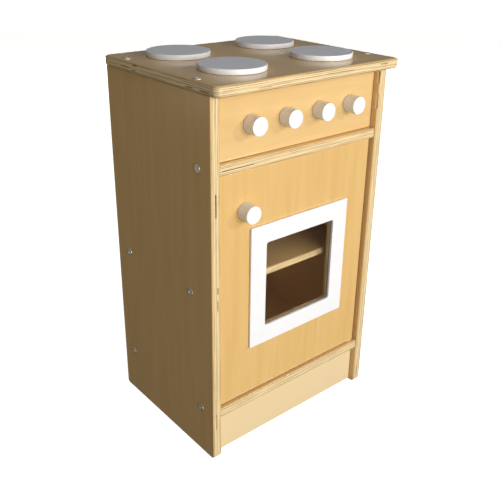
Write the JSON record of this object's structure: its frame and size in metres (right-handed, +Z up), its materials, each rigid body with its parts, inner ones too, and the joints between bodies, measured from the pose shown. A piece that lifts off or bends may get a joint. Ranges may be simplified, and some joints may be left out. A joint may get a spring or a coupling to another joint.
{
  "type": "toy kitchen",
  "caption": "Upright plywood play stove with round hob plates on top, a row of turning knobs, and a side-hinged oven door with a framed window.",
  "frame": {"origin": "on the floor, under the middle of the stove's overall width and depth", "axes": "+X to the right of someone facing the oven door, +Y from the front to the back, +Z up"},
  "size_m": [0.361, 0.292, 0.6246],
  "materials": {
    "birch_ply": "birch plywood, clear satin lacquer",
    "white_paint": "wood fibre and turned wood, sprayed satin white",
    "smoked_acrylic": "clear brown-smoked acrylic sheet, polished",
    "nickel": "nickel-plated steel, satin",
    "zinc_steel": "bright zinc-plated steel",
    "nylon": "natural moulded nylon",
    "brown_plastic": "moulded brown plastic",
    "magnet_iron": "ferrite block between iron pole plates",
    "beech": "fluted beech dowel, unfinished"
  },
  "bodies": {
    "cabinet": {"back_panel": "birch_ply", "base_screw_front_left": "nickel", "base_screw_front_right": "nickel", "base_screw_rear_left": "nickel", "base_screw_rear_right": "nickel", "bottom_shelf": "birch_ply", "catch_case": "brown_plastic", "catch_magnet": "magnet_iron", "catch_screw_left": "zinc_steel", "catch_screw_right": "zinc_steel", "control_panel": "birch_ply", "control_panel_dowel_left": "beech", "control_panel_dowel_right": "beech", "front_rail": "birch_ply", "hinge_bush_lower": "nylon", "hinge_bush_upper": "nylon", "hob_plate_front_left": "white_paint", "hob_plate_front_right": "white_paint", "hob_plate_rear_left": "white_paint", "hob_plate_rear_right": "white_paint", "kick_board": "birch_ply", "kick_board_dowel_left": "beech", "kick_board_dowel_right": "beech", "left_side_panel": "birch_ply", "middle_shelf": "birch_ply", "rail_screw_left": "nickel", "rail_screw_right": "nickel", "right_side_panel": "birch_ply", "shelf_screw_front_left": "nickel", "shelf_screw_front_right": "nickel", "shelf_screw_rear_left": "nickel", "shelf_screw_rear_right": "nickel", "worktop": "birch_ply", "worktop_screw_front_left": "nickel", "worktop_screw_front_right": "nickel", "worktop_screw_rear_left": "nickel", "worktop_screw_rear_right": "nickel"},
    "door": {"door_panel": "birch_ply", "window_pane": "smoked_acrylic", "window_frame": "white_paint", "door_knob": "white_paint", "door_knob_screw": "zinc_steel", "hinge_pin_upper": "zinc_steel", "hinge_pin_lower": "zinc_steel", "strike_plate": "zinc_steel", "strike_screw": "zinc_steel"},
    "knob_1": {"control_knob_1": "white_paint", "knob_washer_1": "zinc_steel", "knob_screw_1": "zinc_steel"},
    "knob_2": {"control_knob_2": "white_paint", "knob_washer_2": "zinc_steel", "knob_screw_2": "zinc_steel"},
    "knob_3": {"control_knob_3": "white_paint", "knob_washer_3": "zinc_steel", "knob_screw_3": "zinc_steel"},
    "knob_4": {"control_knob_4": "white_paint", "knob_washer_4": "zinc_steel", "knob_screw_4": "zinc_steel"}
  },
  "joints": [
    {"name": "door_hinge", "type": "hinge", "parent": "cabinet", "child": "door", "pos_m": [0.148, -0.1097, 0.095], "axis": [0, 0, 1], "range_deg": [0, 100]},
    {"name": "knob_1_turn", "type": "hinge", "parent": "cabinet", "child": "knob_1", "pos_m": [-0.0975, -0.1145, 0.5495], "axis": [0, 1, 0], "continuous": true},
    {"name": "knob_2_turn", "type": "hinge", "parent": "cabinet", "child": "knob_2", "pos_m": [-0.0305, -0.1145, 0.5495], "axis": [0, 1, 0], "continuous": true},
    {"name": "knob_3_turn", "type": "hinge", "parent": "cabinet", "child": "knob_3", "pos_m": [0.0365, -0.1145, 0.5495], "axis": [0, 1, 0], "continuous": true},
    {"name": "knob_4_turn", "type": "hinge", "parent": "cabinet", "child": "knob_4", "pos_m": [0.1035, -0.1145, 0.5495], "axis": [0, 1, 0], "continuous": true}
  ]
}
